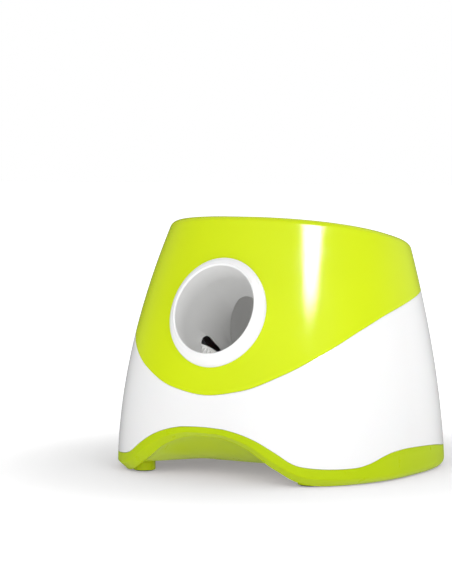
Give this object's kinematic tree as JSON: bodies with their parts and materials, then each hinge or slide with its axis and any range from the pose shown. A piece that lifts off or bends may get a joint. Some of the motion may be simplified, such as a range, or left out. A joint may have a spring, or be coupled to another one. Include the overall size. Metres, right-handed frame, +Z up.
{
  "type": "automatic ball launcher for dogs",
  "caption": "Free-standing automatic ball launcher for dogs: rounded lime and white casing, round slanted muzzle, open hopper on top, ribbed launch wheels and a feed arm inside.",
  "frame": {"origin": "bottom centre of the whole launcher, on the surface it stands on", "axes": "+Z up, -Y towards the front where the muzzle is, +X to the launcher's right-hand side as seen from its front"},
  "size_m": [0.2798, 0.2654, 0.2273],
  "materials": {
    "lime_shell": "glossy moulded ABS, lime",
    "lime_base": "moulded ABS, deeper lime, satin in its recesses",
    "white_shell": "glossy moulded ABS, white",
    "inner_white": "satin moulded ABS, off-white",
    "wheel_rubber": "ribbed moulded elastomer, pale grey",
    "grey_acetal": "moulded acetal, grey",
    "dark_plastic": "fine moulded grain, near black",
    "steel": "zinc-plated steel",
    "nickel": "nickel-plated spring steel",
    "cell_jacket": "plain plastic cell jacket, dark grey",
    "foot_rubber": "soft moulded rubber, black",
    "clear_lens": "clear polycarbonate light guide",
    "board_green": "solder mask on glass-fibre board"
  },
  "bodies": {
    "casing": {"upper_shell": "lime_shell", "lower_shell": "white_shell", "base_tray": "lime_base", "hopper": "lime_shell", "muzzle_ring": "white_shell", "launch_tube": "inner_white", "left_wheel_housing": "inner_white", "right_wheel_housing": "inner_white", "left_wheel_motor": "steel", "right_wheel_motor": "steel", "feed_pin": "steel", "feed_gearbox": "dark_plastic", "feed_motor": "steel", "feed_bracket": "inner_white", "tube_stay_left": "inner_white", "tube_stay_right": "inner_white", "ball_switch": "dark_plastic", "control_panel": "dark_plastic", "led_lens_1": "clear_lens", "led_lens_2": "clear_lens", "led_lens_3": "clear_lens", "power_inlet": "dark_plastic", "circuit_board": "board_green", "buzzer": "dark_plastic", "foot_pad_1": "foot_rubber", "foot_pad_2": "foot_rubber", "foot_pad_3": "foot_rubber", "foot_pad_4": "foot_rubber", "base_screw_1": "steel", "base_screw_2": "steel", "battery_cell_1": "cell_jacket", "battery_cell_2": "cell_jacket", "battery_cell_3": "cell_jacket", "battery_cell_4": "cell_jacket", "battery_cell_5": "cell_jacket", "battery_cell_6": "cell_jacket", "battery_contact_left": "nickel", "battery_contact_right": "nickel"},
    "left_wheel": {"left_wheel_tyre": "wheel_rubber", "left_wheel_hub": "inner_white", "left_wheel_shaft": "steel"},
    "right_wheel": {"right_wheel_tyre": "wheel_rubber", "right_wheel_hub": "inner_white", "right_wheel_shaft": "steel"},
    "feeder": {"feed_arm": "grey_acetal"},
    "pinion": {"feed_pinion": "inner_white"},
    "battery_hatch": {"battery_door": "lime_base"},
    "ball_sensor": {"ball_lever": "nickel"},
    "power_key": {"power_button": "white_shell"},
    "level_key": {"level_button": "white_shell"}
  },
  "joints": [
    {"name": "left_wheel_spin", "type": "hinge", "parent": "casing", "child": "left_wheel", "pos_m": [-0.0494, -0.05734, 0.10952], "axis": [0, 0.5736, 0.8192], "continuous": true},
    {"name": "right_wheel_spin", "type": "hinge", "parent": "casing", "child": "right_wheel", "pos_m": [0.0494, -0.05734, 0.10952], "axis": [0, 0.5736, 0.8192], "continuous": true},
    {"name": "feed_swing", "type": "hinge", "parent": "casing", "child": "feeder", "pos_m": [0, -0.04637, 0.0408], "axis": [1, 0, 0], "range_deg": [0, 27]},
    {"name": "pinion_turn", "type": "hinge", "parent": "casing", "child": "pinion", "pos_m": [0, -0.00737, 0.0408], "axis": [1, 0, 0], "range_deg": [-90, 0]},
    {"name": "hatch_swing", "type": "hinge", "parent": "casing", "child": "battery_hatch", "pos_m": [0, 0.1003, 0.0064], "axis": [1, 0, 0], "range_deg": [0, 90]},
    {"name": "sensor_press", "type": "hinge", "parent": "casing", "child": "ball_sensor", "pos_m": [0.016, -0.06278, 0.06792], "axis": [-1, 0, 0], "range_deg": [0, 9], "stiffness_Nm_per_rad": 0.01, "springref_deg": -8.59},
    {"name": "power_press", "type": "slide", "parent": "casing", "child": "power_key", "axis": [0, -0.989, -0.148], "range_m": [0, 0.0012], "stiffness_N_per_m": 400, "springref_m": -0.001},
    {"name": "level_press", "type": "slide", "parent": "casing", "child": "level_key", "axis": [0, -0.989, -0.148], "range_m": [0, 0.0012], "stiffness_N_per_m": 400, "springref_m": -0.001}
  ],
  "couplings": [
    {"joint": "right_wheel_spin", "follows": "left_wheel_spin", "ratio": -1},
    {"joint": "pinion_turn", "follows": "feed_swing", "ratio": -3.3333}
  ]
}
